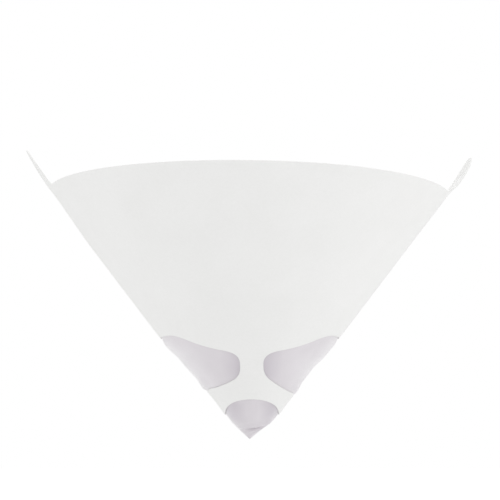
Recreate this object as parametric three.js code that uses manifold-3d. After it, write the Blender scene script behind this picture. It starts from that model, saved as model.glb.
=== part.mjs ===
import * as THREE from 'three';
import { mergeVertices } from 'three/addons/utils/BufferGeometryUtils.js';
import Module from 'manifold-3d';

const wasm = await Module();
wasm.setup();

// Cone paint strainer: a die-cut paper blank, rolled into a cone and glued with a lap at the back,
// and a nylon mesh cone glued inside it, which shows through two side windows and forms the tip.
// Millimetres. The origin is the centre of the rim, +Z points up the axis and the tip points down,
// the front is at -Y, and the two ears stand at +X and -X.

// Outside of the cone: radii, and heights above the tip
const RIM_RADIUS = 89;
const RIM_HEIGHT = 108.6;
const SHOULDER_RADIUS = 40.5;
const SHOULDER_HEIGHT = 45.4;
const WAIST_RADIUS = 20;
const WAIST_HEIGHT = 21;
const NOSE_RADIUS = 11.3;
const NOSE_HEIGHT = 9.6;

// Paper
const PAPER = 0.4;
const LAP_WIDTH = 10;
const LAP_RAMP = 5;
const CUT_LEAN = 0.1;
const LOWER_EDGE = 25.5;
const LOWER_EDGE_SWING = 4;

// Side windows, measured on the flat blank from the point where its straight edges would meet
const NECK_WIDTH = 10.2;
const NECK_BOTTOM = 41.8;
const NECK_TOP = 54.5;
const WINDOW_BOTTOM = 34.2;
const WINDOW_TOP = 65.3;
const NECK_CORNER = 5;
const TOP_CORNER = 6;

// Ears, one on each side of the rim
const EAR_WIDTH = 34;
const EAR_LENGTH = 21.5;
const EAR_STRAIGHT = 5;
const EAR_FOOT_WIDTH = 14;
const EAR_FOOT_HEIGHT = 4;
const EAR_BEND = THREE.MathUtils.degToRad(4);
const EAR_CREASE = 4;
const EAR_HOLE_RADIUS = 3.5;
const EAR_HOLE_CENTRE = 10.4;
const EAR_TONGUE = 1.5;
const TONGUE_INSET = 0.1;

// Mesh
const MESH = 0.2;
const GLUE_GAP = 0.3;
const MESH_MARGIN = 7.7;
const FOLD_HEIGHT = 6;
const FOLD_DROP = 0.9;
const FOLD_DEPTH = 4.2;

// Facets
const COLUMNS = 72;
const EDGE_STEPS = 28;
const EAR_COLUMNS = 12;
const EAR_STEPS = 7;
const FOOT_STEPS = 5;
const HOLE_FACETS = 28;
const CUTTER_ROWS = 5;
const CUT_ROOM = 1.6;
const SAME_POINT = 1e-3;
const ON_KNOT = 1e-6;

const MERIDIAN = [
  new THREE.Vector2(0, -RIM_HEIGHT),
  new THREE.Vector2(NOSE_RADIUS, NOSE_HEIGHT - RIM_HEIGHT),
  new THREE.Vector2(WAIST_RADIUS, WAIST_HEIGHT - RIM_HEIGHT),
  new THREE.Vector2(SHOULDER_RADIUS, SHOULDER_HEIGHT - RIM_HEIGHT),
  new THREE.Vector2(RIM_RADIUS, 0),
];
const [, NOSE, WAIST, SHOULDER, RIM] = MERIDIAN.keys();

// The upper cone sets how the flat blank rolls up: an angle on the blank is the angle round the
// axis times ROLL, and distances on the blank run from the point where the upper cone would end.
const UPPER = MERIDIAN[RIM].clone().sub(MERIDIAN[SHOULDER]);
const ROLL = UPPER.x / UPPER.length();
const BLANK_RIM = RIM_RADIUS / ROLL;
const KNOTS = blankDistances();
const SIDE_ANGLE = Math.PI / 2 * ROLL;

function blankDistances() {
  const distances = [BLANK_RIM];
  for (let i = RIM; i > 0; i--) {
    distances.unshift(distances[0] - MERIDIAN[i].distanceTo(MERIDIAN[i - 1]));
  }
  return distances;
}

// Point of the meridian at a distance on the blank, moved outwards by lift. At a bend the move
// follows the line between the two stretches, so a wall keeps its thickness there.
function meridianPoint(distance, lift) {
  const end = KNOTS.findIndex((knot, i) => i > 0 && (distance <= knot + ON_KNOT || i === RIM));
  const span = MERIDIAN[end].clone().sub(MERIDIAN[end - 1]);
  const share = (distance - KNOTS[end - 1]) / (KNOTS[end] - KNOTS[end - 1]);
  const point = MERIDIAN[end - 1].clone().addScaledVector(span, share);
  const normal = outwards(span);
  if (Math.abs(distance - KNOTS[end]) < ON_KNOT && end < RIM) {
    const next = outwards(MERIDIAN[end + 1].clone().sub(MERIDIAN[end]));
    normal.add(next);
    normal.divideScalar(normal.dot(next));
  }
  return point.addScaledVector(normal, lift);
}

function outwards(span) {
  return new THREE.Vector2(span.y, -span.x).normalize();
}

// Point of the rolled sheet: angle round the axis from the front, and distance on the blank
function rolled(angle, distance, lift) {
  const point = meridianPoint(distance, lift);
  return new THREE.Vector3(point.x * Math.sin(angle), -point.x * Math.cos(angle), point.y);
}

// Closed body between two grids of points that match point for point. The rows run upwards and
// the columns counter-clockwise seen from above; a round grid joins its last column to its first.
function plate(back, face, round = false) {
  const rows = back.length;
  const columns = back[0].length;
  const spans = round ? columns : columns - 1;
  const at = (side, row, column) => side * rows * columns + row * columns + column % columns;
  const index = [];
  const quad = (a, b, c, d) => index.push(a, b, c, a, c, d);
  const top = rows - 1;
  for (let j = 0; j < spans; j++) {
    for (let i = 0; i < top; i++) {
      quad(at(1, i, j), at(1, i, j + 1), at(1, i + 1, j + 1), at(1, i + 1, j));
      quad(at(0, i, j), at(0, i + 1, j), at(0, i + 1, j + 1), at(0, i, j + 1));
    }
    quad(at(0, 0, j), at(0, 0, j + 1), at(1, 0, j + 1), at(1, 0, j));
    quad(at(1, top, j), at(1, top, j + 1), at(0, top, j + 1), at(0, top, j));
  }
  if (!round) {
    for (let i = 0; i < top; i++) {
      quad(at(1, i, 0), at(1, i + 1, 0), at(0, i + 1, 0), at(0, i, 0));
      quad(at(0, i, spans), at(0, i + 1, spans), at(1, i + 1, spans), at(1, i, spans));
    }
  }
  return closedMesh([...back.flat(), ...face.flat()], index);
}

// Indexed geometry with shared points merged and the triangles that this collapses left out
function closedMesh(points, index) {
  const loose = new THREE.BufferGeometry().setFromPoints(points);
  loose.setIndex(index);
  const geometry = mergeVertices(loose, SAME_POINT);
  const kept = [];
  const merged = geometry.getIndex().array;
  for (let i = 0; i < merged.length; i += 3) {
    const [a, b, c] = merged.slice(i, i + 3);
    if (a !== b && b !== c && c !== a) {
      kept.push(a, b, c);
    }
  }
  geometry.setIndex(kept);
  return geometry;
}

function toSolid(geometry) {
  return new wasm.Manifold(new wasm.Mesh({
    numProp: 3,
    vertProperties: new Float32Array(geometry.getAttribute('position').array),
    triVerts: new Uint32Array(geometry.getIndex().array),
  }));
}

function toGeometry(solid) {
  const mesh = solid.getMesh();
  const geometry = new THREE.BufferGeometry();
  geometry.setAttribute('position', new THREE.BufferAttribute(mesh.vertProperties, 3));
  geometry.setIndex(new THREE.BufferAttribute(mesh.triVerts, 1));
  geometry.computeVertexNormals();
  return geometry;
}

// The rolled and glued sheet, uncut. A column lies at a share of the way round from lap to lap, or
// aside of the middle of the lap by a distance across the blank. Inner and outer are how far its
// faces step outwards: the outer ply lies on the inner one, and comes down past its cut edge.
function paperRoll() {
  const half = LAP_WIDTH / 2;
  const columns = [];
  for (let k = 0; k <= COLUMNS; k++) {
    columns.push({ share: k / COLUMNS, inner: 0, outer: 0 });
  }
  columns.push({ aside: CUT_LEAN - half, inner: 0, outer: PAPER });
  columns.push({ aside: 0, inner: 0, outer: PAPER });
  columns.push({ aside: half - CUT_LEAN, inner: 0, outer: PAPER });
  columns.push({ aside: half, inner: PAPER, outer: PAPER });
  const angleAt = (column, distance) => {
    const turn = aside => Math.PI + aside / distance / ROLL;
    const start = turn(half + LAP_RAMP) - 2 * Math.PI;
    if (column.aside !== undefined) {
      return turn(column.aside);
    }
    return start + column.share * (turn(-half) - start);
  };
  const lowerEdge = column => {
    const angle = angleAt(column, LOWER_EDGE + LOWER_EDGE_SWING);
    return LOWER_EDGE + LOWER_EDGE_SWING * Math.cos(2 * angle);
  };
  const noseRow = column => Math.max(lowerEdge(column), KNOTS[NOSE]);
  const rows = [lowerEdge, noseRow, () => KNOTS[WAIST], () => KNOTS[SHOULDER], () => KNOTS[RIM]];
  const grid = lift => rows.map(row => columns.map(column => {
    const distance = row(column);
    return rolled(angleAt(column, distance), distance, lift(column));
  }));
  return plate(grid(column => column.inner - PAPER), grid(column => column.outer), true);
}

// Lower and upper edges of the front half of a window on the flat blank, x from the front line
function windowEdges() {
  const neck = NECK_WIDTH / 2;
  const middle = (NECK_BOTTOM + NECK_TOP) / 2;
  const onArc = (radius, angle) => [radius * Math.sin(angle), radius * Math.cos(angle)];
  const fromSide = Math.PI / 2 - SIDE_ANGLE;

  const reach = Math.hypot(neck, NECK_BOTTOM);
  const touch = Math.atan2(neck, NECK_BOTTOM) + Math.acos(WINDOW_BOTTOM / reach);
  const slope = new THREE.Vector2(...onArc(WINDOW_BOTTOM, touch)).sub(new THREE.Vector2(neck, NECK_BOTTOM));
  slope.setLength(NECK_CORNER);
  const lower = new THREE.Path();
  lower.moveTo(neck, middle);
  lower.lineTo(neck, NECK_BOTTOM + NECK_CORNER);
  lower.quadraticCurveTo(neck, NECK_BOTTOM, neck + slope.x, NECK_BOTTOM + slope.y);
  lower.lineTo(...onArc(WINDOW_BOTTOM, touch));
  lower.absarc(0, 0, WINDOW_BOTTOM, Math.PI / 2 - touch, fromSide, true);

  const meet = Math.acos(NECK_TOP / WINDOW_TOP);
  const [meetX] = onArc(WINDOW_TOP, meet);
  const after = meet + TOP_CORNER / WINDOW_TOP;
  const upper = new THREE.Path();
  upper.moveTo(neck, middle);
  upper.lineTo(neck, NECK_TOP - NECK_CORNER);
  upper.quadraticCurveTo(neck, NECK_TOP, neck + NECK_CORNER, NECK_TOP);
  upper.lineTo(meetX - TOP_CORNER, NECK_TOP);
  upper.quadraticCurveTo(meetX, NECK_TOP, ...onArc(WINDOW_TOP, after));
  upper.absarc(0, 0, WINDOW_TOP, Math.PI / 2 - after, fromSide, true);
  return [lower.getSpacedPoints(EDGE_STEPS), upper.getSpacedPoints(EDGE_STEPS)];
}

// Curved cutter for one side window: side is 1 at +X and -1 at -X
function windowCutter(side) {
  const polar = point => ({ angle: Math.atan2(point.x, point.y) / ROLL, distance: point.length() });
  const both = edge => {
    const front = edge.map(polar);
    const back = front.slice(0, -1).map(p => ({ angle: Math.PI - p.angle, distance: p.distance }));
    return [...front, ...back.reverse()];
  };
  const [lower, upper] = windowEdges().map(both);
  const grid = lift => Array.from({ length: CUTTER_ROWS }, (_, i) => {
    const share = i / (CUTTER_ROWS - 1);
    const row = lower.map((low, k) => {
      const high = upper[k];
      const angle = THREE.MathUtils.lerp(low.angle, high.angle, share);
      const distance = THREE.MathUtils.lerp(low.distance, high.distance, share);
      return rolled(side * angle, distance, lift);
    });
    return side > 0 ? row : row.reverse();
  });
  return plate(grid(-PAPER - CUT_ROOM), grid(PAPER + CUT_ROOM));
}

// Ear at +X: a flat tab with a rounded end and a foot that spreads along the rim. It leaves the rim
// along the cone, loses the cone's curve by its crease and is bent a little upwards there.
function ear() {
  const slant = Math.asin(ROLL);
  const along = new THREE.Vector3(Math.sin(slant), 0, Math.cos(slant));
  const bent = new THREE.Vector3(Math.sin(slant - EAR_BEND), 0, Math.cos(slant - EAR_BEND));
  const root = new THREE.Vector3(RIM_RADIUS, 0, 0);
  const normalOf = direction => new THREE.Vector3(direction.z, 0, -direction.x);

  const outline = [];
  for (let k = 0; k <= FOOT_STEPS; k++) {
    const turn = Math.PI / 2 * k / FOOT_STEPS;
    const out = EAR_FOOT_HEIGHT * (1 - Math.cos(turn));
    outline.push([out, EAR_WIDTH / 2 + EAR_FOOT_WIDTH * (1 - Math.sin(turn))]);
  }
  for (let k = 0; k <= EAR_STEPS; k++) {
    const turn = Math.PI / 2 * k / EAR_STEPS;
    const out = EAR_STRAIGHT + (EAR_LENGTH - EAR_STRAIGHT) * Math.sin(turn);
    outline.push([out, EAR_WIDTH / 2 * Math.cos(turn)]);
  }

  const onCone = (out, across, lift) => {
    const distance = BLANK_RIM + Math.min(out, 0);
    const angle = Math.PI / 2 + across / distance / ROLL;
    const point = rolled(angle, distance, lift);
    return out > 0 ? point.addScaledVector(conical(angle), out) : point;
  };
  const conical = angle => new THREE.Vector3(
    along.x * Math.sin(angle), -along.x * Math.cos(angle), along.z);
  const onTab = (out, across, lift) => {
    const past = Math.max(0, out - EAR_CREASE);
    const direction = past > 0 ? bent : along;
    const miter = normalOf(along).add(normalOf(bent));
    miter.divideScalar(miter.dot(normalOf(bent)));
    const normal = out === EAR_CREASE ? miter : normalOf(direction);
    return root.clone()
      .addScaledVector(along, out - past)
      .addScaledVector(bent, past)
      .addScaledVector(normal, lift)
      .setY(across);
  };
  const earPoint = (out, across, lift) => {
    const flat = THREE.MathUtils.smoothstep(out, 0, EAR_CREASE);
    return onCone(out, across, lift).lerp(onTab(out, across, lift), flat);
  };
  const across = k => 2 * k / EAR_COLUMNS - 1;
  const grid = (side, inset) => {
    const rows = [[-EAR_TONGUE, outline[0][1]], [-TONGUE_INSET, outline[0][1]], ...outline];
    return rows.map(([out, width]) => Array.from({ length: EAR_COLUMNS + 1 }, (_, k) => {
      const shift = out < 0 ? inset : 0;
      return earPoint(out, across(k) * width, side + shift);
    }));
  };
  const tab = toSolid(plate(grid(-PAPER, TONGUE_INSET), grid(0, -TONGUE_INSET)));

  const hole = new THREE.CylinderGeometry(EAR_HOLE_RADIUS, EAR_HOLE_RADIUS, 2 * CUT_ROOM, HOLE_FACETS);
  const centre = onTab(EAR_HOLE_CENTRE, 0, -PAPER / 2);
  hole.applyQuaternion(new THREE.Quaternion().setFromUnitVectors(new THREE.Vector3(0, 1, 0), normalOf(bent)));
  hole.translate(centre.x, centre.y, centre.z);
  return tab.subtract(toSolid(shared(hole)));
}

function shared(geometry) {
  geometry.deleteAttribute('normal');
  geometry.deleteAttribute('uv');
  return mergeVertices(geometry, SAME_POINT);
}

function paperCone() {
  const rightEar = ear();
  const leftEar = rightEar.mirror([1, 0, 0]);
  const solid = toSolid(paperRoll())
    .subtract(toSolid(windowCutter(1)))
    .subtract(toSolid(windowCutter(-1)))
    .add(rightEar)
    .add(leftEar);
  return toGeometry(solid);
}

// The mesh cone, lofted through rings from its inner tip up to its top edge and down to its outer
// tip. Below the fold the cone is pressed in from front to back, into a small oval point.
function meshCone() {
  const outside = -PAPER - GLUE_GAP;
  const top = WINDOW_TOP + MESH_MARGIN;
  const bends = KNOTS.slice(NOSE, RIM).filter(knot => knot < top);
  const ringsAt = (lift, skin) => {
    const nose = meridianPoint(KNOTS[NOSE], lift);
    const tip = skin / (nose.x / Math.hypot(nose.x, nose.y + RIM_HEIGHT)) - RIM_HEIGHT;
    const flank = height => {
      const share = (height - RIM_HEIGHT - tip) / (nose.y - tip);
      return { width: nose.x * share, height: height - RIM_HEIGHT };
    };
    const foldTop = flank(FOLD_HEIGHT);
    const foldBottom = flank(FOLD_HEIGHT - FOLD_DROP);
    const rings = [
      { width: 0, depth: 0, height: tip },
      { ...foldBottom, depth: FOLD_DEPTH - skin },
      { ...foldTop, depth: foldTop.width },
    ];
    for (const distance of [...bends, top]) {
      const point = meridianPoint(distance, lift);
      rings.push({ width: point.x, depth: point.x, height: point.y });
    }
    return rings;
  };
  const grid = rings => rings.map(({ width, depth, height }) => {
    return Array.from({ length: COLUMNS }, (_, k) => {
      const angle = 2 * Math.PI * k / COLUMNS;
      return new THREE.Vector3(width * Math.sin(angle), -depth * Math.cos(angle), height);
    });
  });
  const rows = [...grid(ringsAt(outside, 0)), ...grid(ringsAt(outside - MESH, MESH)).reverse()];
  const index = [];
  for (let i = 0; i < rows.length - 1; i++) {
    for (let j = 0; j < COLUMNS; j++) {
      const a = i * COLUMNS + j;
      const b = i * COLUMNS + (j + 1) % COLUMNS;
      index.push(a, b, b + COLUMNS, a, b + COLUMNS, a + COLUMNS);
    }
  }
  const geometry = closedMesh(rows.flat(), index);
  geometry.computeVertexNormals();
  return geometry;
}

const paper = new THREE.Mesh(
  paperCone(),
  new THREE.MeshStandardMaterial({ color: 0xf0efed, roughness: 0.9, metalness: 0 }));
paper.name = 'paper_cone';

const mesh = new THREE.Mesh(
  meshCone(),
  new THREE.MeshStandardMaterial({ color: 0xd6d0d6, roughness: 0.7, metalness: 0 }));
mesh.name = 'mesh_filter';

const strainer = new THREE.Group();
strainer.name = 'paint_strainer';
strainer.add(paper, mesh);

export default strainer;
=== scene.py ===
"""Cone paint strainer: a rolled white paper cone with a fine nylon mesh glued inside it."""
import math

import bmesh
import bpy
import numpy as np
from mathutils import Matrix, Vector


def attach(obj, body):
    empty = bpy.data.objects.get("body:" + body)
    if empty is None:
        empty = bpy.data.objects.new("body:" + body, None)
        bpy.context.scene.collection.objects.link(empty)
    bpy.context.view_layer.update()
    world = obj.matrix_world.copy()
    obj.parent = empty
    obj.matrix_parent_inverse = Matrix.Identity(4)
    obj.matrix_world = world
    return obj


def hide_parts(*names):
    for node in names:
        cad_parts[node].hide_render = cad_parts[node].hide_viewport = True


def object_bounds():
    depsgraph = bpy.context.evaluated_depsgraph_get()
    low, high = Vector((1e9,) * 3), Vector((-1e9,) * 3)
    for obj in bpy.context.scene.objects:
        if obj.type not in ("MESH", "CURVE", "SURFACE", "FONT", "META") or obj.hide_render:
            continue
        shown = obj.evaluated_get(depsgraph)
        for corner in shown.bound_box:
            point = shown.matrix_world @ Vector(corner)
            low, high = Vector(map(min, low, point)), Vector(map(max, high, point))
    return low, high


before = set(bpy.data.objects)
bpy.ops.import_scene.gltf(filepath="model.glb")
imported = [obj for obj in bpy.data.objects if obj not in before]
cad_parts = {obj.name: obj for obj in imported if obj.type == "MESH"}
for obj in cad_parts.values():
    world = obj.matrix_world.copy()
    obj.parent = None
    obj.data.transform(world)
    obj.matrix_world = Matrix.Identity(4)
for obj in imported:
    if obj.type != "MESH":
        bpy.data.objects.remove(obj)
cad_low, cad_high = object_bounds()


# The stand. The strainer hangs tip down by its rim, seen level with its tip, so the camera looks
# up at the rim. The ground is plain white paper, far enough below to carry no hard shadow.
MM = 0.001  # sizes are in millimetres, and Blender's unit is the metre
picture_width = 500
view_distance = 700 * MM
view_elevation = math.radians(-6.94)
view_turn = math.radians(1.5)
view_target = Vector((0.1 * MM, 0, -24.6 * MM))
view_focal_px = 1565.1

camera_data = bpy.data.cameras.new("camera")
camera_data.sensor_width = 36
camera_data.lens = camera_data.sensor_width * view_focal_px / picture_width
camera = bpy.data.objects.new("camera", camera_data)
bpy.context.scene.collection.objects.link(camera)
bpy.context.scene.camera = camera
backwards = Vector((
    -math.sin(view_turn) * math.cos(view_elevation),
    -math.cos(view_turn) * math.cos(view_elevation),
    math.sin(view_elevation),
))
camera.location = view_target + backwards * view_distance
camera.rotation_mode = "QUATERNION"
camera.rotation_quaternion = (-backwards).to_track_quat("-Z", "Y")
bpy.context.scene.view_settings.view_transform = "Standard"


class Wire:
    """A socket of a node tree. Python's operators on it add Math nodes, and node() adds any other."""

    def __init__(self, tree, socket=None):
        self.tree = tree
        self.socket = socket

    def node(self, kind, settings=None, output=0, **inputs):
        """A node of the type ShaderNode + kind: settings are set first, then its sockets by name."""
        made = self.tree.nodes.new("ShaderNode" + kind)
        for name, value in (settings or {}).items():
            setattr(made, name, value)
        for name, value in inputs.items():
            key = int(name[1:]) if name[1:].isdigit() else name.replace("_", " ")
            socket = made.inputs[key]
            if isinstance(value, Wire):
                self.tree.links.new(value.socket, socket)
            else:
                socket.default_value = value
        return Wire(self.tree, made.outputs[output])

    def other(self, output):
        """Another output of the node that this wire comes from."""
        return Wire(self.tree, self.socket.node.outputs[output])

    def math(self, operation, *values):
        """A Math node on this wire and the values."""
        inputs = {f"s{i}": value for i, value in enumerate((self, *values))}
        return self.node("Math", {"operation": operation}, **inputs)

    def __add__(self, other):
        return self.math("ADD", other)

    def __sub__(self, other):
        return self.math("SUBTRACT", other)

    def __mul__(self, other):
        return self.math("MULTIPLY", other)

    def __rsub__(self, other):
        return (self * -1) + other

    __radd__ = __add__
    __rmul__ = __mul__

    def between(self, low, high):
        """0 up to low, 1 from high on, and an even slope between them."""
        return self.node("MapRange", {"clamp": True}, s0=self, s1=low, s2=high)

    def mix(self, dark, light):
        """The colour dark where this wire is 0, and light where it is 1."""
        return self.node("Mix", {"data_type": "RGBA"}, output=2, s0=self, s6=dark, s7=light)


def new_material(name):
    """An empty node material and the wire that starts its expressions."""
    material = bpy.data.materials.new(name)
    material.use_nodes = True
    material.node_tree.nodes.clear()
    return material, Wire(material.node_tree)


def finish_surface(wire, shader):
    """Joins a shader to the material's output."""
    output = wire.tree.nodes.new("ShaderNodeOutputMaterial")
    wire.tree.links.new(shader.socket, output.inputs["Surface"])


def area_lamp(name, place, aim, width, height, watts):
    """A soft box: a rectangle of light at place, turned to face aim."""
    data = bpy.data.lights.new(name, "AREA")
    data.shape = "RECTANGLE"
    data.size = width
    data.size_y = height
    data.energy = watts
    lamp = bpy.data.objects.new(name, data)
    bpy.context.scene.collection.objects.link(lamp)
    lamp.location = place
    lamp.rotation_mode = "QUATERNION"
    lamp.rotation_quaternion = (Vector(aim) - Vector(place)).to_track_quat("-Z", "Y")


# Three soft boxes, placed in metres: the right one is the brighter of the two at the sides
cone_middle = (0, 0, -0.05)
rim_centre = (0, 0, 0)
area_lamp("left_box", place=(-0.9, -0.55, 0.15), aim=cone_middle, width=0.7, height=0.9, watts=1.66)
area_lamp("right_box", place=(0.9, -0.55, 0.15), aim=cone_middle, width=0.7, height=0.9, watts=2.47)
area_lamp("top_box", place=(0, 0.1, 0.95), aim=rim_centre, width=1.0, height=1.0, watts=3.7)


def seen_directly(wire):
    """1 for rays from the camera, from a mirror-like surface or through glass, and 0 for others."""
    path = wire.node("LightPath")
    return path.other("Is Camera Ray").math("MAXIMUM", path.other("Is Glossy Ray")).math(
        "MAXIMUM", path.other("Is Transmission Ray"))


plain_white = (1, 1, 1, 1)
room_light = 0.72
world = bpy.data.worlds.new("studio")
bpy.context.scene.world = world
world.use_nodes = True
world.node_tree.nodes.clear()
studio = Wire(world.node_tree)
room = studio.node("Background", Color=plain_white, Strength=room_light)
backdrop = studio.node("Background", Color=plain_white, Strength=1.0)
sky = studio.node("MixShader", s0=seen_directly(studio), s1=room, s2=backdrop)
world_output = world.node_tree.nodes.new("ShaderNodeOutputWorld")
world.node_tree.links.new(sky.socket, world_output.inputs["Surface"])

ground_drop = 120 * MM
ground_half = 6.0
ground_white = (0.93, 0.93, 0.93, 1)
ground_glow = 0.4
ground_mesh = bpy.data.meshes.new("ground")
ground_level = cad_low[2] - ground_drop
corners = [(-1, -1), (1, -1), (1, 1), (-1, 1)]
ground_points = [(x * ground_half, y * ground_half, ground_level) for x, y in corners]
ground_mesh.from_pydata(ground_points, [], [(0, 1, 2, 3)])
ground = bpy.data.objects.new("ground", ground_mesh)
bpy.context.scene.collection.objects.link(ground)
ground_material, wire = new_material("ground_white")
matte = wire.node("BsdfDiffuse", Color=ground_white)
glow = wire.node("Emission", Color=plain_white, Strength=seen_directly(wire) * ground_glow)
finish_surface(wire, wire.node("AddShader", s0=matte, s1=glow))
ground_mesh.materials.append(ground_material)


# Paper cone. One blank of white paper of about 200 g/m2, die-cut with two side windows, a wavy
# lower edge and two ears, rolled up and glued with a lap at the back. Its cut edges stay bare.
paper_thickness = 0.36
meridian_radius = np.array([0, 11.3, 15.2, 20.0, 40.5, 89.0])
meridian_height = np.array([0, 9.6, 15.3, 21.0, 45.4, 108.6])
rim_height = meridian_height[-1]
rim_radius = meridian_radius[-1]

# The cone's straight upper part unrolls to a flat sector about the blank's apex. An angle round
# the cone times unroll is the angle on the blank, and knots are the meridian's points on it.
steps = np.hypot(np.diff(meridian_radius), np.diff(meridian_height))
unroll = (meridian_radius[-1] - meridian_radius[-2]) / steps[-1]
blank_rim = rim_radius / unroll
knots = blank_rim - steps.sum() + np.concatenate([[0], np.cumsum(steps)])
side_line = math.pi / 2 * unroll
back_line = math.pi * unroll

# Table of the meridian with its bends rounded, by a running mean over the bend's width
bend_width = 7.0
table_step = 0.25
table_reach = 30
table_at = np.arange(knots[0] - table_reach, blank_rim + table_reach, table_step)


def straight_on(at, values):
    """Values between the knots by straight lines, and past both ends along the last ones."""
    low = values[0] + (at - knots[0]) * (values[1] - values[0]) / (knots[1] - knots[0])
    high = values[-1] + (at - knots[-1]) * (values[-1] - values[-2]) / (knots[-1] - knots[-2])
    inside = np.interp(at, knots, values)
    return np.where(at < knots[0], low, np.where(at > knots[-1], high, inside))


def rounded(values):
    """The straight lines between the knots, with a running mean over bend_width. Near the table's
    two ends, where the mean would run out of values, the lines themselves are kept."""
    count = 2 * int(bend_width / table_step / 2) + 1
    smooth = np.convolve(straight_on(table_at, values), np.ones(count) / count, mode="same")
    smooth[:count] = straight_on(table_at[:count], values)
    smooth[-count:] = straight_on(table_at[-count:], values)
    return smooth


table_radius = rounded(meridian_radius)
table_height = rounded(meridian_height) - rim_height
table_radius_slope = np.gradient(table_radius, table_step)
table_height_slope = np.gradient(table_height, table_step)


def ease(value, low, high):
    """0 at low, 1 at high, with a smooth start and end between them."""
    t = np.clip((value - low) / (high - low), 0, 1)
    return t * t * (3 - 2 * t)


bow_depth = 1.0
bow_start = (1, 10)
bow_end = (18, 34)


def tip_bow(height):
    """How far the cone bows to the right above its tip, where the glued end isn't quite straight.
    The bow eases in over the heights of bow_start above the tip, and out over those of bow_end."""
    above = height + rim_height
    return bow_depth * ease(above, *bow_start) * (1 - ease(above, *bow_end))


def rolled(angle, distance, lift):
    """Points of the rolled sheet. The meridian at a distance on the blank gives radius and height,
    lift moves it along its outward normal, and angle turns it round the axis from the front."""
    along_r = np.interp(distance, table_at, table_radius_slope)
    along_z = np.interp(distance, table_at, table_height_slope)
    size = np.hypot(along_r, along_z)
    radius = np.interp(distance, table_at, table_radius) + lift * along_z / size
    height = np.interp(distance, table_at, table_height) - lift * along_r / size
    return np.stack([radius * np.sin(angle) + tip_bow(height), -radius * np.cos(angle), height], -1)


neck_half = 5.1
neck_bottom = 41.8
neck_top = 54.5
window_bottom = {"left": (35.9, 34.1), "right": (34.2, 31.6)}
window_dip_start = 0.62
window_top = 65.3
low_corner = 5.0
high_corner = 8.0
high_corner_start = 0.5
top_corner = 6.0
corner_points = 14
arc_points = 30
lower_edge = 25.5
lower_edge_swing = 4.0
lower_edge_square = 0.5
lower_edge_turn = 0.04
lap_half = 5.0
lap_ramp = 5.0
lap_count = 7
front_count = 9
window_columns = 174


def on_arc(radius, angle):
    """Points of the flat blank at a radius from its apex and an angle from its front line."""
    return np.stack([radius * np.sin(angle), radius * np.cos(angle)], -1)


def corner(start, middle, end):
    """A rounded corner: the quadratic curve from start to end with middle as its control point."""
    t = np.linspace(0, 1, corner_points)[:, None]
    return (1 - t) ** 2 * np.array(start) + 2 * t * (1 - t) * np.array(middle) + t ** 2 * np.array(end)


def evenly(points, count):
    """The polyline through points, cut again into count points at equal steps of its length."""
    lengths = np.concatenate([[0], np.cumsum(np.hypot(*np.diff(points, axis=0).T))])
    at = np.linspace(0, lengths[-1], count)
    return np.stack([np.interp(at, lengths, points[:, i]) for i in (0, 1)], -1)


def mirrored(points, line):
    """The points mirrored in the line through the blank's apex at the angle line."""
    axis = np.array([math.sin(line), math.cos(line)])
    return 2 * (points @ axis)[:, None] * axis - points


def lower_radius(bottom, share):
    """Radius of a window's lower edge on the blank, which dips from bottom's first value to its
    second one near the side line. share is 0 on the front or back line and 1 on the side line."""
    return bottom[0] + (bottom[1] - bottom[0]) * ease(share, window_dip_start, 1)


def window_edges(bottom):
    """Lower and upper edge of a right-hand window on the blank, from its front neck to its back
    neck: a straight neck, a rounded corner, a straight run and an arc about the apex, then the
    same mirrored in the side line. The lower arc has the radius that lower_radius gives."""
    middle = (neck_bottom + neck_top) / 2
    below = np.array([neck_half, neck_bottom])
    above = np.array([neck_half, neck_top])
    touch = math.atan2(*below) + math.acos(bottom[0] / math.hypot(*below))
    tangent = on_arc(bottom[0], touch)
    run = (tangent - below) / np.hypot(*(tangent - below))
    turn = np.linspace(touch, side_line, arc_points)
    low = np.concatenate([
        [(neck_half, middle)],
        corner(below + (0, low_corner), below, below + run * low_corner),
        on_arc(lower_radius(bottom, turn / side_line), turn),
    ])
    meet = math.acos(neck_top / window_top)
    after = meet + top_corner / window_top
    meeting = on_arc(window_top, meet)
    high = np.concatenate([
        [(neck_half, middle)],
        corner((neck_half, middle + high_corner_start), above, above + (high_corner, 0)),
        corner(meeting - (top_corner, 0), meeting, on_arc(window_top, after)),
        on_arc(window_top, np.linspace(after, side_line, arc_points)[1:]),
    ])
    edges = []
    for half in (low, high):
        front = evenly(half, window_columns // 2 + 1)
        edges.append(np.concatenate([front, mirrored(front, side_line)[-2::-1]]))
    return edges


def wavy_edge(angle):
    """Radius of the blank's lower edge at an angle round the cone from its front: a cosine that
    swings twice in a turn, made squarer between, and turned a little to the left."""
    turned = 2 * (angle + lower_edge_turn)
    return lower_edge + lower_edge_swing * np.cos(turned) + lower_edge_square * np.sin(turned) ** 2


def neck_strip(line, aside):
    """Four rows of points on strips beside a line through the apex, at the distances aside from
    it: on the lower edge, twice at the middle of the necks, and on the rim."""
    along = np.array([math.sin(line), math.cos(line)])
    across = np.array([math.cos(line), -math.sin(line)])
    middle = (neck_bottom + neck_top) / 2
    rows = []
    for distance in (lower_edge + lower_edge_swing, middle, middle, blank_rim):
        reach = np.sqrt(distance ** 2 - aside ** 2)
        if distance < middle:
            angle = (line + np.arctan2(aside, reach)) / unroll
            reach = np.sqrt(wavy_edge(angle) ** 2 - aside ** 2)
        rows.append(reach[:, None] * along + aside[:, None] * across)
    return np.stack(rows)


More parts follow.
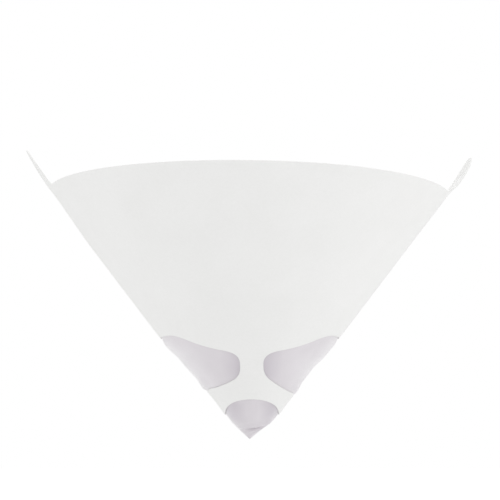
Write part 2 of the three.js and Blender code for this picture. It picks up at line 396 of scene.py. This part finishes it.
def window_strip(side):
    """The four rows of points at the columns of one window, from its back or front neck on."""
    low, high = window_edges(window_bottom["left" if side < 0 else "right"])
    share = np.linspace(0, 1, window_columns + 1)
    wave_start = math.asin(neck_half / (lower_edge + lower_edge_swing)) / unroll
    wave_angle = wave_start + share * (math.pi - 2 * wave_start)
    wave = wavy_edge(side * wave_angle)
    rim_start = math.asin(neck_half / blank_rim) / unroll
    rim_angle = rim_start + share * (math.pi - 2 * rim_start)
    rows = np.stack([on_arc(wave, wave_angle * unroll), low, high, on_arc(blank_rim, rim_angle * unroll)])
    if side < 0:
        rows = rows[:, ::-1] * (-1, 1)
    return rows


lap_columns = np.linspace(-lap_half, neck_half, lap_count)
front_columns = np.linspace(-neck_half, neck_half, front_count)[1:-1]
blank = np.concatenate([
    neck_strip(-back_line, lap_columns)[:, :-1],
    window_strip(-1),
    neck_strip(0, front_columns),
    window_strip(1),
    neck_strip(back_line, -lap_columns[::-1])[:, 1:],
], axis=1)


mouth_start = 115
mouth_draw = 0.5
mouth_waves = ((0.15, 3, 3.9), (0.1, 5, 2.1))
mouth_lean = 1.2
lap_glue = 0.05


def paper_sway(angle, distance):
    """How far the paper stands out of the true cone. From mouth_start up to the rim it closes in
    towards the left ear, by mouth_draw times the sine of the angle less its square, and waves.
    Each wave has its depth, how often it comes in a turn, and where it starts."""
    share = ease(distance, mouth_start, blank_rim)
    sway = mouth_draw * np.sin(angle) - mouth_draw * np.sin(angle) ** 2
    for depth, often, start in mouth_waves:
        sway = sway + depth * np.sin(often * angle + start)
    return share * sway


def paper_lean(angle, distance):
    """How far the leaning paper is shifted along its slope: up on the left, down on the right."""
    return -mouth_lean * ease(distance, mouth_start, blank_rim) * np.sin(angle)


def paper_surface(points):
    """Rolls points of the blank up. At its left end the sheet lies on the other end, one paper
    thickness further out, and comes down past the other end's edge."""
    distance = np.hypot(points[..., 0], points[..., 1])
    angle = np.arctan2(points[..., 0], points[..., 1]) / unroll
    across = np.array([math.cos(-back_line), -math.sin(-back_line)])
    aside = points @ across
    on_left = angle < -math.pi / 2
    step = np.where(on_left, 1 - ease(aside, lap_half, lap_half + lap_ramp), 0)
    lift = step * (paper_thickness + lap_glue) + paper_sway(angle, distance)
    return rolled(angle, distance + paper_lean(angle, distance), lift)


def row_grid(first, last, count):
    """Rows of points between two rows of the blank, at equal shares of the way."""
    return first + (last - first) * np.linspace(0, 1, count + 1)[:, None, None]


def quads(rows, columns):
    """Faces of a grid of rows times columns points, numbered row by row."""
    a = np.arange(rows - 1)[:, None] * columns + np.arange(columns - 1)
    return np.stack([a, a + 1, a + columns + 1, a + columns], -1).reshape(-1, 4)


ear_half = 17.0
ear_length = 21.5
ear_straight = 5.0
ear_foot_height = 4.0
ear_crease = 4.0
ear_lean = {"left": np.radians([27, 36, 31]), "right": np.radians([35, 39, 22])}
ear_twist = math.radians(2.5)
ear_hole = 3.5
ear_hole_centre = 10.4
ear_columns = 14
ear_foot_rows = 12
ear_end_points = 61
ear_rings = 10


def ear_surface(across, out, side):
    """An ear's points. Across runs along the rim and out away from it. The sheet loses the cone's
    curve by the crease, then leans further out and curls up to its end, and is twisted a little.
    ear_lean holds its angles from upright below the crease, just above it and at its end."""
    foot, start, end = ear_lean["left" if side < 0 else "right"]
    curl = (start - end) / (ear_length - ear_crease)
    middle = side * math.pi / 2
    angle = middle + across / rim_radius
    on_rim = rolled(angle, blank_rim + paper_lean(angle, blank_rim), paper_sway(angle, blank_rim))
    conical = np.stack([np.sin(angle) * math.sin(foot), -np.cos(angle) * math.sin(foot),
                        math.cos(foot) + 0 * angle], -1)
    on_cone = on_rim + out[..., None] * conical
    root = rolled(middle, blank_rim + paper_lean(middle, blank_rim), paper_sway(middle, blank_rim))
    past = np.maximum(0, out - ear_crease)
    before = out - past
    tab_r = before * math.sin(foot) + (np.cos(start - curl * past) - math.cos(start)) / curl
    tab_z = before * math.cos(foot) + (math.sin(start) - np.sin(start - curl * past)) / curl
    aside = side * across
    turned = (aside * math.sin(ear_twist), aside * math.cos(ear_twist))
    on_tab = root + np.stack([side * tab_r - turned[0], turned[1], tab_z], -1)
    flat = ease(out, 0, ear_crease)[..., None]
    return on_cone + (on_tab - on_cone) * flat


def ear_root(side):
    """The foot of an ear, which spreads along the rim, as rows of points from the rim to where its
    round end starts, and their faces. Its rim points are the sheet's own."""
    pitch = (math.pi - 2 * math.asin(neck_half / blank_rim) / unroll) / window_columns
    base = np.arange(-ear_columns, ear_columns + 1) * pitch * rim_radius
    spread = base[-1] - ear_half
    turn = np.linspace(0, math.pi / 2, ear_foot_rows)
    out = np.append(ear_foot_height * (1 - np.cos(turn)), ear_straight)
    half = np.append(base[-1] - spread * np.sin(turn), ear_half)
    across = half[:, None] * base / base[-1]
    out = np.broadcast_to(out[:, None], across.shape)
    return ear_surface(across, out, side).reshape(-1, 3), quads(*across.shape)


def ear_end(side):
    """The round end of an ear, as rings of points between its outline, which is half an ellipse
    on a straight foot, and its round hole, and their faces."""
    foot = np.linspace(-ear_half, ear_half, 2 * ear_columns + 1)
    turn = np.linspace(0, math.pi, ear_end_points)[1:-1]
    end = np.stack([ear_half * np.cos(turn), (ear_length - ear_straight) * np.sin(turn)], -1)
    loop = np.concatenate([np.stack([foot, 0 * foot], -1), end]) + (0, ear_straight)
    centre = np.array([0, ear_hole_centre])
    away = loop - centre
    hole = centre + ear_hole * away / np.hypot(away[:, 0], away[:, 1])[:, None]
    share = np.linspace(0, 1, ear_rings + 1)[:, None, None]
    rings = loop + (hole - loop) * share
    count = len(loop)
    index = np.arange(count)
    after = (index + 1) % count
    faces = []
    for ring in range(ear_rings):
        low = ring * count
        faces.append(np.stack([low + index, low + after, low + count + after, low + count + index], -1))
    points = ear_surface(rings[..., 0], rings[..., 1], side)
    return points.reshape(-1, 3), np.concatenate(faces)


def new_piece(name, points, faces, weld=0.0):
    """A mesh object from points in millimetres and a list of faces. Points that are closer than
    weld, in metres, are joined."""
    mesh = bpy.data.meshes.new(name)
    mesh.from_pydata((points * MM).tolist(), [], faces)
    mesh.update()
    if weld:
        shape = bmesh.new()
        shape.from_mesh(mesh)
        bmesh.ops.remove_doubles(shape, verts=shape.verts, dist=weld)
        shape.to_mesh(mesh)
        shape.free()
    mesh.shade_smooth()
    piece = bpy.data.objects.new(name, mesh)
    bpy.context.scene.collection.objects.link(piece)
    return piece


band_rows = 8
upper_rows = 40
lower_band = row_grid(blank[0], blank[1], band_rows)
upper_cone = row_grid(blank[2], blank[3], upper_rows)
columns = blank.shape[1]
parts = [
    (paper_surface(lower_band).reshape(-1, 3), quads(band_rows + 1, columns)),
    (paper_surface(upper_cone).reshape(-1, 3), quads(upper_rows + 1, columns)),
    ear_root(1),
    ear_end(1),
    ear_root(-1),
    ear_end(-1),
]
offsets = np.cumsum([0] + [len(points) for points, _ in parts])
paper_points = np.concatenate([points for points, _ in parts])
paper_faces = np.concatenate([faces + start for (_, faces), start in zip(parts, offsets)])
paper = new_piece("rolled_paper_cone", paper_points, paper_faces.tolist(), weld=2e-6)


def thicken(piece, thickness, rim_material=0, crisp_from=math.radians(50)):
    """Gives a sheet its thickness, inwards from the modelled face, with crisp cut edges."""
    wall = piece.modifiers.new("thickness", "SOLIDIFY")
    wall.thickness = thickness
    wall.offset = -1
    wall.use_even_offset = True
    wall.material_offset_rim = rim_material
    crisp = piece.modifiers.new("crisp_edges", "EDGE_SPLIT")
    crisp.split_angle = crisp_from


thicken(paper, paper_thickness * MM, rim_material=1)

# The paper's fine fibres under a faint cloud, and the barer, rougher fibres of its cut edge
cloud_range = (0.35, 0.65)
fibre_range = (0.3, 0.7)
cloud_share = 0.5
paper_dark = (0.845, 0.845, 0.835, 1)
paper_light = (0.875, 0.875, 0.867, 1)
paper_material, wire = new_material("white_uncoated_paper")
place = wire.node("TexCoord", output="Object")
cloud = wire.node("TexNoise", Vector=place, Scale=45.0, Detail=3.0)
fibre = wire.node("TexNoise", Vector=place, Scale=900.0, Detail=2.0, Roughness=0.6)
tone = cloud.between(*cloud_range) * cloud_share + fibre.between(*fibre_range) * (1 - cloud_share)
paper_colour = tone.mix(paper_dark, paper_light)
paper_bump = wire.node("Bump", Height=fibre, Strength=0.07, Distance=0.00015)
paper_shader = wire.node(
    "BsdfPrincipled", Base_Color=paper_colour, Roughness=0.82, Normal=paper_bump)
finish_surface(wire, paper_shader)
paper.data.materials.append(paper_material)

edge_dark = (0.83, 0.825, 0.815, 1)
edge_light = (0.88, 0.88, 0.87, 1)
edge_material, wire = new_material("cut_paper_edge")
place = wire.node("TexCoord", output="Object")
fibre = wire.node("TexNoise", Vector=place, Scale=1500.0, Detail=3.0)
edge_colour = fibre.between(*fibre_range).mix(edge_dark, edge_light)
edge_shader = wire.node("BsdfPrincipled", Base_Color=edge_colour, Roughness=0.92)
finish_surface(wire, edge_shader)
paper.data.materials.append(edge_material)

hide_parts("paper_cone")
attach(paper, "root")


# Mesh cone. Fine woven nylon, pale lilac grey, cut as a sector and glued inside the paper above,
# between and below the windows. Its tip is folded flat, from front to back, into a small point.
glue_gap = 0.12
cloth_thickness = 0.18
mesh_top = 73.0
mesh_columns = 288
tip_rows = 90
tip_zone = 12.0
upper_mesh_rows = 60

# Where the cloth leaves the paper: it is tucked under it down to the lower edge, and it bulges
# out through the windows at the cone's sides
tuck_start = (16, 21.5)
puff_height = 0.8
puff_start = 50
puff_skew = 3
puff_rise = 8
puff_end = 61.5
bag_height = {"left": 0.85, "right": 0.6}
bag_start = (0, 2.2)
bag_end = (2.5, 8)
bulge_sides = (0.8, 0.97)


def mesh_lift(angle, distance):
    """How far the mesh stands out of the true cone. It lies under the paper and its glue, and
    comes out level with the paper's face over the distances of tuck_start. At the sides it bulges
    in two places: a puff below the windows' upper edge, and a bag just past their lower edge."""
    tucked = -(paper_thickness + glue_gap) * ease(distance, *tuck_start)
    start = puff_start - puff_skew * np.sin(angle)
    puff = ease(distance, start, start + puff_rise) * (1 - ease(distance, puff_end, window_top))
    on_left = angle < 0
    aside = 1 - np.abs(np.abs(angle) * 2 / math.pi - 1)
    left_edge = lower_radius(window_bottom["left"], aside)
    right_edge = lower_radius(window_bottom["right"], aside)
    past = distance - np.where(on_left, left_edge, right_edge)
    bag = ease(past, *bag_start) * (1 - ease(past, *bag_end))
    bag = bag * np.where(on_left, bag_height["left"], bag_height["right"])
    return tucked + (puff_height * puff + bag) * ease(np.abs(np.sin(angle)), *bulge_sides)


fold_height = 5.3
fold_slope = 0.19
fold_depth = 4.4
fold_skew = 0.35
fold_bend = (-0.4, 0.3)
pleat_width = 1.5
pleat_pull = 5.46
pleat_close = 3.4
pleat_front = (0.1, 0.7)
pleat_left = 0.3
pleat_middle = (-3, 3)
hollow_depth = 1.4
hollow_below = 0.55
hollow_width = 0.5
tip_blunt = 0.5


def fold_tip(points, angle):
    """The mesh's points with its tip folded, in place. The fold's height runs up from left to
    right, and place is the height over it in pleat widths. Below it each ring is pressed in from
    front to back, to a depth that shrinks towards the tip. At the front the cloth laps over the
    fold in a pleat: rings above it are pulled down and rings below it up, so that they cross, by
    pleat_pull times place times exp(-pleat_close place^2). Under the pleat the cloth is hollowed
    by a bell curve. Both are deeper on the right."""
    height = points[..., 2] + rim_height
    radius = np.hypot(points[..., 0], points[..., 1])
    place = (height - fold_height - fold_slope * points[..., 0]) / pleat_width
    deeper = pleat_left + (1 - pleat_left) * ease(points[..., 0], *pleat_middle)
    hollow = hollow_depth * deeper * np.exp(-((place + hollow_below) / hollow_width) ** 2)
    share = np.clip(height / fold_height, 0, 1)
    depth = tip_blunt / 2 + (fold_depth - fold_skew * points[..., 0]) * share - hollow
    flat_y = -np.cos(angle) * np.minimum(depth, radius)
    points[..., 1] += (flat_y - points[..., 1]) * (1 - ease(place, *fold_bend))
    pull = pleat_pull * deeper * ease(np.cos(angle), *pleat_front)
    points[..., 2] -= pull * place * np.exp(-pleat_close * place ** 2)


def mesh_surface():
    """Rings of the mesh cone from its tip to its top edge, and the same points on the flat cloth.
    The rings stand closer together near the tip."""
    tip_end = knots[0] + tip_zone
    distance = np.concatenate([
        np.linspace(knots[0] + tip_blunt, tip_end, tip_rows)[:-1],
        np.linspace(tip_end, mesh_top, upper_mesh_rows),
    ])[:, None]
    angle = np.linspace(-math.pi, math.pi, mesh_columns + 1)[None, :-1]
    distance, angle = np.broadcast_arrays(distance, angle)
    points = rolled(angle, distance, mesh_lift(angle, distance))
    fold_tip(points, angle)
    return points, on_arc(distance, angle * unroll)


mesh_points, cloth_place = mesh_surface()
rings, around = mesh_points.shape[:2]
ring_start = np.arange(rings - 1)[:, None] * around
column = np.arange(around)
next_column = (column + 1) % around
mesh_faces = np.stack([
    ring_start + column, ring_start + next_column,
    ring_start + around + next_column, ring_start + around + column,
], -1).reshape(-1, 4)
tip = np.array([[0, 0, -rim_height]])
all_points = np.concatenate([mesh_points.reshape(-1, 3), tip])
tip_index = len(all_points) - 1
tip_faces = [[int(j), tip_index, int(k)] for j, k in zip(column, next_column)]
nylon = new_piece("nylon_mesh_cone", all_points, mesh_faces.tolist() + tip_faces)

# The cloth's own map gives each corner of a face its place on the flat sector, in millimetres. The
# last column of faces closes the ring at the seam, so its far corners lie at the other flat edge.
flat_place = np.concatenate([cloth_place.reshape(-1, 2), [(0, 0)]])
corner_vertex = np.zeros(len(nylon.data.loops), int)
nylon.data.loops.foreach_get("vertex_index", corner_vertex)
corner_place = flat_place[corner_vertex]
seam_corners = corner_place[:mesh_faces.size].reshape(rings - 1, around, 4, 2)[:, -1, 1:3]
seam_corners[..., 0] *= -1
cloth_map = nylon.data.uv_layers.new(name="cloth")
cloth_map.data.foreach_set("uv", corner_place.astype(np.float32).ravel())
thicken(nylon, cloth_thickness * MM)

# The weave, painted shade beside the front neck and in a band under the paper's lower edge, where the
# paper's edges shade the cloth, and its lap at the back
thread_pitch = 0.42
thread_share = 0.7
stain_range = (0.3, 0.7)
stain_share = 0.35
cloth_dark = (0.55, 0.515, 0.55, 1)
cloth_light = (0.715, 0.68, 0.715, 1)
# Colour of the painted shade where the paper's edges shade the cloth
painted_shade_cloth = (0.54, 0.50, 0.55, 1)
lapped_cloth = (0.57, 0.535, 0.57, 1)
shade_beside_neck = 9
shade_below_neck = 6
shade_above_neck = 8
edge_shade_aside = (3, 10)
edge_shade_front = (2, 12)
edge_shade_start = (13, 21)
edge_shade_end = (26, 30)
shade_middle = (-5, 5)
shade_left_share = 0.85
lap_edge = (1.2, 1.5)
lap_tint = 0.5
nylon_material, wire = new_material("woven_nylon")
cloth_uv = wire.node("UVMap", {"uv_map": "cloth"})
warp = wire.node("SeparateXYZ", Vector=cloth_uv)
weft = warp.other("Y")
thread_turn = math.pi / thread_pitch
warp_wave = (warp * thread_turn).math("SINE")
weft_wave = (weft * thread_turn).math("SINE")
warp_rise = warp_wave.math("ABSOLUTE")
weft_rise = weft_wave.math("ABSOLUTE")
crossing = warp_wave * weft_wave
thread = warp_rise.math("MAXIMUM", weft_rise)
pore = (1 - warp_rise) * (1 - weft_rise)
weave = thread * thread_share + crossing * (1 - thread_share)
place = wire.node("TexCoord", output="Object")
stain = wire.node("TexNoise", Vector=place, Scale=60.0, Detail=2.0)
shade = stain.between(*stain_range) * stain_share + (1 - pore) * (1 - stain_share)
cloth_colour = shade.mix(cloth_dark, cloth_light)
# Painted shade: the cloth is darkened beside the front neck and in a band under the paper's lower edge
# away from the front, where the paper's edges shade it, a little less on the left
beside_neck = 1 - warp.math("ABSOLUTE").between(neck_half, neck_half + shade_beside_neck)
from_neck = weft.between(neck_bottom - shade_below_neck, neck_bottom)
on_neck = from_neck * (1 - weft.between(neck_top, neck_top + shade_above_neck))
slant_place = wire.node("VectorMath", {"operation": "LENGTH"}, output="Value", s0=cloth_uv)
off_front = warp.math("ABSOLUTE").between(*edge_shade_aside) * weft.between(*edge_shade_front)
near_edge = slant_place.between(*edge_shade_start) * (1 - slant_place.between(*edge_shade_end))
painted_shade = (beside_neck * on_neck).math("MAXIMUM", off_front * near_edge)
shade_strength = warp.between(*shade_middle) * (1 - shade_left_share) + shade_left_share
shaded_colour = (painted_shade * shade_strength).mix(cloth_colour, painted_shade_cloth)
off_seam = warp.math("ABSOLUTE") * math.cos(back_line) - weft * math.sin(back_line)
lapped = 1 - off_seam.math("ABSOLUTE").between(*lap_edge)
nylon_colour = (lapped * lap_tint).mix(shaded_colour, lapped_cloth)
nylon_bump = wire.node("Bump", Height=weave, Strength=0.25, Distance=0.00012)
nylon_shader = wire.node(
    "BsdfPrincipled", Base_Color=nylon_colour, Roughness=0.55, Sheen_Weight=1.0, Sheen_Roughness=0.58,
    Normal=nylon_bump)
finish_surface(wire, nylon_shader)
nylon.data.materials.append(nylon_material)

# Cut flat, the cloth is a sector: its radius is the cone's slant, and its arc is the top edge
slant = mesh_top - knots[0]
top_edge = 2 * math.pi * np.interp(mesh_top, table_at, table_radius)
sector = top_edge / slant
flat_cut = (2 * slant * MM, slant * (1 + math.cos(math.pi - sector / 2)) * MM)
slant * top_edge / 2 * MM ** 2
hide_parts("mesh_filter")
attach(nylon, "root")
